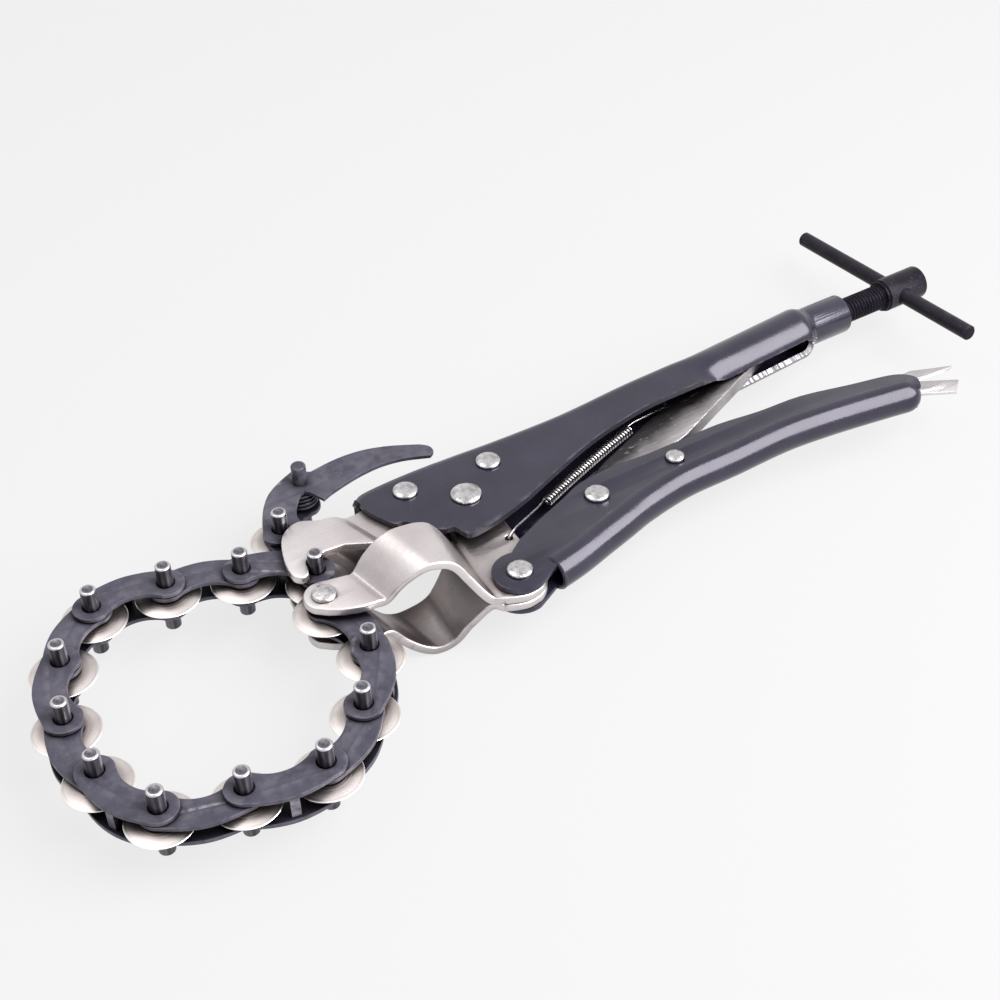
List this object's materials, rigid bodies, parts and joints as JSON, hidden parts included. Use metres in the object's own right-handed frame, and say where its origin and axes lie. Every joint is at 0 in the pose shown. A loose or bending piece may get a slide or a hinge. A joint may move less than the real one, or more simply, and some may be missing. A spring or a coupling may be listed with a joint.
{
  "type": "chain pipe cutter",
  "caption": "Locking pliers that tighten a chain of cutting wheels round a pipe, with an adjusting screw and T-bar and a hook for the chain.",
  "frame": {"origin": "on the main pivot's axis, at the flat lower head of its rivet", "axes": "+X along the upper handle towards the T-bar, +Y from the lower handle towards the upper one, +Z across the sheet pieces"},
  "size_m": [0.3912, 0.1664, 0.0407],
  "materials": {
    "black_enamel": "gloss",
    "nickel_plate": "satin",
    "black_steel": "satin",
    "wheel_steel": "ground",
    "gunmetal": "satin",
    "bright_steel": "bright",
    "black_oxide": "satin",
    "zinc_spring": "bright"
  },
  "bodies": {
    "handle": {"upper_handle": "black_enamel", "fixed_jaw_top": "nickel_plate", "fixed_jaw_bottom": "nickel_plate", "front_jaw_rivet": "bright_steel", "upper_jaw_rivet": "bright_steel", "main_pivot_rivet": "bright_steel", "jaw_spring": "zinc_spring"},
    "moving_jaw": {"moving_jaw_top": "nickel_plate", "moving_jaw_bottom": "nickel_plate", "jaw_pin": "bright_steel", "rear_pivot_rivet": "bright_steel"},
    "lower_handle": {"lower_handle": "black_enamel", "toggle_rivet": "bright_steel", "release_rivet": "bright_steel"},
    "toggle_link": {"toggle_link": "bright_steel"},
    "release_lever": {"release_lever": "bright_steel"},
    "adjusting_screw": {"adjusting_screw": "black_oxide"},
    "t_bar": {"t_bar": "black_oxide"},
    "link_jaw_k": {"inner_link_jaw_k": "black_steel"},
    "link_k_j": {"outer_link_k_j": "black_steel", "chain_pin_k": "gunmetal", "chain_pin_j": "gunmetal"},
    "link_j_i": {"inner_link_j_i": "black_steel"},
    "link_i_h": {"outer_link_i_h": "black_steel", "chain_pin_i": "gunmetal", "chain_pin_h": "gunmetal"},
    "link_h_g": {"inner_link_h_g": "black_steel"},
    "link_g_f": {"outer_link_g_f": "black_steel", "chain_pin_g": "gunmetal", "chain_pin_f": "gunmetal"},
    "link_f_e": {"inner_link_f_e": "black_steel"},
    "link_e_d": {"outer_link_e_d": "black_steel", "chain_pin_e": "gunmetal", "chain_pin_d": "gunmetal"},
    "link_d_c": {"inner_link_d_c": "black_steel"},
    "link_c_b": {"outer_link_c_b": "black_steel", "chain_pin_c": "gunmetal", "chain_pin_b": "gunmetal"},
    "link_b_a": {"inner_link_b_a": "black_steel"},
    "link_a_hook": {"outer_link_a_hook": "black_steel", "chain_pin_a": "gunmetal", "chain_pin_hook": "gunmetal"},
    "link_hook_l": {"inner_link_hook_l": "black_steel"},
    "tail_finger": {"tail_finger": "black_steel", "chain_pin_l": "gunmetal", "tail_spring": "black_steel"},
    "cutter_wheel_jaw": {"cutter_wheel_jaw": "wheel_steel"},
    "cutter_wheel_k": {"cutter_wheel_k": "wheel_steel"},
    "cutter_wheel_j": {"cutter_wheel_j": "wheel_steel"},
    "cutter_wheel_i": {"cutter_wheel_i": "wheel_steel"},
    "cutter_wheel_h": {"cutter_wheel_h": "wheel_steel"},
    "cutter_wheel_g": {"cutter_wheel_g": "wheel_steel"},
    "cutter_wheel_f": {"cutter_wheel_f": "wheel_steel"},
    "cutter_wheel_e": {"cutter_wheel_e": "wheel_steel"},
    "cutter_wheel_d": {"cutter_wheel_d": "wheel_steel"},
    "cutter_wheel_c": {"cutter_wheel_c": "wheel_steel"},
    "cutter_wheel_b": {"cutter_wheel_b": "wheel_steel"},
    "cutter_wheel_a": {"cutter_wheel_a": "wheel_steel"},
    "cutter_wheel_hook": {"cutter_wheel_hook": "wheel_steel"},
    "cutter_wheel_l": {"cutter_wheel_l": "wheel_steel"}
  },
  "joints": [
    {"name": "lower_handle_hinge", "type": "hinge", "parent": "moving_jaw", "child": "lower_handle", "pos_m": [-0.0035, -0.0394, 0.01055], "axis": [0, 0, 1], "range_deg": [-30, 0]},
    {"name": "jaw_hinge", "type": "hinge", "parent": "handle", "child": "moving_jaw", "pos_m": [0, 0, 0.01055], "axis": [0, 0, 1], "range_deg": [0, 8], "deforming": ["jaw_spring"]},
    {"name": "toggle_hinge", "type": "hinge", "parent": "lower_handle", "child": "toggle_link", "pos_m": [0.0394, -0.0216, 0.01055], "axis": [0, 0, 1], "range_deg": [0, 36]},
    {"name": "release_hinge", "type": "hinge", "parent": "lower_handle", "child": "release_lever", "pos_m": [0.0737, -0.0202, 0.01055], "axis": [0, 0, 1], "range_deg": [-2, 0]},
    {"name": "screw_turn", "type": "hinge", "parent": "handle", "child": "adjusting_screw", "pos_m": [0.192, 0.0218, 0.01055], "axis": [1, 0, 0], "continuous": true},
    {"name": "t_bar_slide", "type": "slide", "parent": "adjusting_screw", "child": "t_bar", "axis": [0, 0.9969, -0.0785], "range_m": [-0.047, 0.033]},
    {"name": "chain_jaw_hinge", "type": "hinge", "parent": "moving_jaw", "child": "link_jaw_k", "pos_m": [-0.0642, -0.0176, 0.01055], "axis": [0, 0, 1], "range_deg": [-60, 60]},
    {"name": "chain_k_hinge", "type": "hinge", "parent": "link_jaw_k", "child": "link_k_j", "pos_m": [-0.06159, -0.04246, 0.01055], "axis": [0, 0, 1], "range_deg": [-88, 166]},
    {"name": "chain_j_hinge", "type": "hinge", "parent": "link_k_j", "child": "link_j_i", "pos_m": [-0.0752, -0.06343, 0.01055], "axis": [0, 0, 1], "range_deg": [-105, 149]},
    {"name": "chain_i_hinge", "type": "hinge", "parent": "link_j_i", "child": "link_i_h", "pos_m": [-0.09568, -0.07777, 0.01055], "axis": [0, 0, 1], "range_deg": [-82, 171]},
    {"name": "chain_h_hinge", "type": "hinge", "parent": "link_i_h", "child": "link_h_g", "pos_m": [-0.12034, -0.07364, 0.01055], "axis": [0, 0, 1], "range_deg": [-119, 134]},
    {"name": "chain_g_hinge", "type": "hinge", "parent": "link_h_g", "child": "link_g_f", "pos_m": [-0.14425, -0.06633, 0.01055], "axis": [0, 0, 1], "range_deg": [-77, 176]},
    {"name": "chain_f_hinge", "type": "hinge", "parent": "link_g_f", "child": "link_f_e", "pos_m": [-0.15422, -0.04341, 0.01055], "axis": [0, 0, 1], "range_deg": [-103, 150]},
    {"name": "chain_e_hinge", "type": "hinge", "parent": "link_f_e", "child": "link_e_d", "pos_m": [-0.15422, -0.01841, 0.01055], "axis": [0, 0, 1], "range_deg": [-107, 146]},
    {"name": "chain_d_hinge", "type": "hinge", "parent": "link_e_d", "child": "link_d_c", "pos_m": [-0.14587, 0.00516, 0.01055], "axis": [0, 0, 1], "range_deg": [-101, 152]},
    {"name": "chain_c_hinge", "type": "hinge", "parent": "link_d_c", "child": "link_c_b", "pos_m": [-0.12819, 0.02284, 0.01055], "axis": [0, 0, 1], "range_deg": [-75, 178]},
    {"name": "chain_b_hinge", "type": "hinge", "parent": "link_c_b", "child": "link_b_a", "pos_m": [-0.10335, 0.02001, 0.01055], "axis": [0, 0, 1], "range_deg": [-115, 138]},
    {"name": "chain_a_hinge", "type": "hinge", "parent": "link_b_a", "child": "link_a_hook", "pos_m": [-0.07958, 0.01228, 0.01055], "axis": [0, 0, 1], "range_deg": [-110, 144]},
    {"name": "chain_hook_hinge", "type": "hinge", "parent": "link_a_hook", "child": "link_hook_l", "pos_m": [-0.0591, -0.00206, 0.01055], "axis": [0, 0, 1], "range_deg": [-25, 1]},
    {"name": "chain_l_hinge", "type": "hinge", "parent": "link_hook_l", "child": "tail_finger", "pos_m": [-0.05975, 0.02293, 0.01055], "axis": [0, 0, 1], "range_deg": [0, 80]},
    {"name": "wheel_jaw_turn", "type": "hinge", "parent": "link_jaw_k", "child": "cutter_wheel_jaw", "pos_m": [-0.0642, -0.0176, 0.01055], "axis": [0, 0, 1], "continuous": true},
    {"name": "wheel_k_turn", "type": "hinge", "parent": "link_jaw_k", "child": "cutter_wheel_k", "pos_m": [-0.06159, -0.04246, 0.01055], "axis": [0, 0, 1], "continuous": true},
    {"name": "wheel_j_turn", "type": "hinge", "parent": "link_j_i", "child": "cutter_wheel_j", "pos_m": [-0.0752, -0.06343, 0.01055], "axis": [0, 0, 1], "continuous": true},
    {"name": "wheel_i_turn", "type": "hinge", "parent": "link_j_i", "child": "cutter_wheel_i", "pos_m": [-0.09568, -0.07777, 0.01055], "axis": [0, 0, 1], "continuous": true},
    {"name": "wheel_h_turn", "type": "hinge", "parent": "link_h_g", "child": "cutter_wheel_h", "pos_m": [-0.12034, -0.07364, 0.01055], "axis": [0, 0, 1], "continuous": true},
    {"name": "wheel_g_turn", "type": "hinge", "parent": "link_h_g", "child": "cutter_wheel_g", "pos_m": [-0.14425, -0.06633, 0.01055], "axis": [0, 0, 1], "continuous": true},
    {"name": "wheel_f_turn", "type": "hinge", "parent": "link_f_e", "child": "cutter_wheel_f", "pos_m": [-0.15422, -0.04341, 0.01055], "axis": [0, 0, 1], "continuous": true},
    {"name": "wheel_e_turn", "type": "hinge", "parent": "link_f_e", "child": "cutter_wheel_e", "pos_m": [-0.15422, -0.01841, 0.01055], "axis": [0, 0, 1], "continuous": true},
    {"name": "wheel_d_turn", "type": "hinge", "parent": "link_d_c", "child": "cutter_wheel_d", "pos_m": [-0.14587, 0.00516, 0.01055], "axis": [0, 0, 1], "continuous": true},
    {"name": "wheel_c_turn", "type": "hinge", "parent": "link_d_c", "child": "cutter_wheel_c", "pos_m": [-0.12819, 0.02284, 0.01055], "axis": [0, 0, 1], "continuous": true},
    {"name": "wheel_b_turn", "type": "hinge", "parent": "link_b_a", "child": "cutter_wheel_b", "pos_m": [-0.10335, 0.02001, 0.01055], "axis": [0, 0, 1], "continuous": true},
    {"name": "wheel_a_turn", "type": "hinge", "parent": "link_b_a", "child": "cutter_wheel_a", "pos_m": [-0.07958, 0.01228, 0.01055], "axis": [0, 0, 1], "continuous": true},
    {"name": "wheel_hook_turn", "type": "hinge", "parent": "link_hook_l", "child": "cutter_wheel_hook", "pos_m": [-0.0591, -0.00206, 0.01055], "axis": [0, 0, 1], "continuous": true},
    {"name": "wheel_l_turn", "type": "hinge", "parent": "link_hook_l", "child": "cutter_wheel_l", "pos_m": [-0.05975, 0.02293, 0.01055], "axis": [0, 0, 1], "continuous": true}
  ],
  "couplings": [
    {"joint": "jaw_hinge", "follows": "lower_handle_hinge", "ratio": -0.22},
    {"joint": "toggle_hinge", "follows": "lower_handle_hinge", "ratio": -1.12},
    {"joint": "chain_jaw_hinge", "follows": "lower_handle_hinge", "ratio": 0.075},
    {"joint": "chain_k_hinge", "follows": "lower_handle_hinge", "ratio": 0.065},
    {"joint": "chain_j_hinge", "follows": "lower_handle_hinge", "ratio": 0.046},
    {"joint": "chain_i_hinge", "follows": "lower_handle_hinge", "ratio": 0.018},
    {"joint": "chain_h_hinge", "follows": "lower_handle_hinge", "ratio": -0.019},
    {"joint": "chain_g_hinge", "follows": "lower_handle_hinge", "ratio": -0.051},
    {"joint": "chain_f_hinge", "follows": "lower_handle_hinge", "ratio": -0.055},
    {"joint": "chain_e_hinge", "follows": "lower_handle_hinge", "ratio": -0.044},
    {"joint": "chain_d_hinge", "follows": "lower_handle_hinge", "ratio": -0.025},
    {"joint": "chain_c_hinge", "follows": "lower_handle_hinge", "ratio": 0.016},
    {"joint": "chain_b_hinge", "follows": "lower_handle_hinge", "ratio": 0.016},
    {"joint": "chain_a_hinge", "follows": "lower_handle_hinge", "ratio": 0.016},
    {"joint": "chain_hook_hinge", "follows": "chain_l_hinge", "ratio": -0.25}
  ]
}
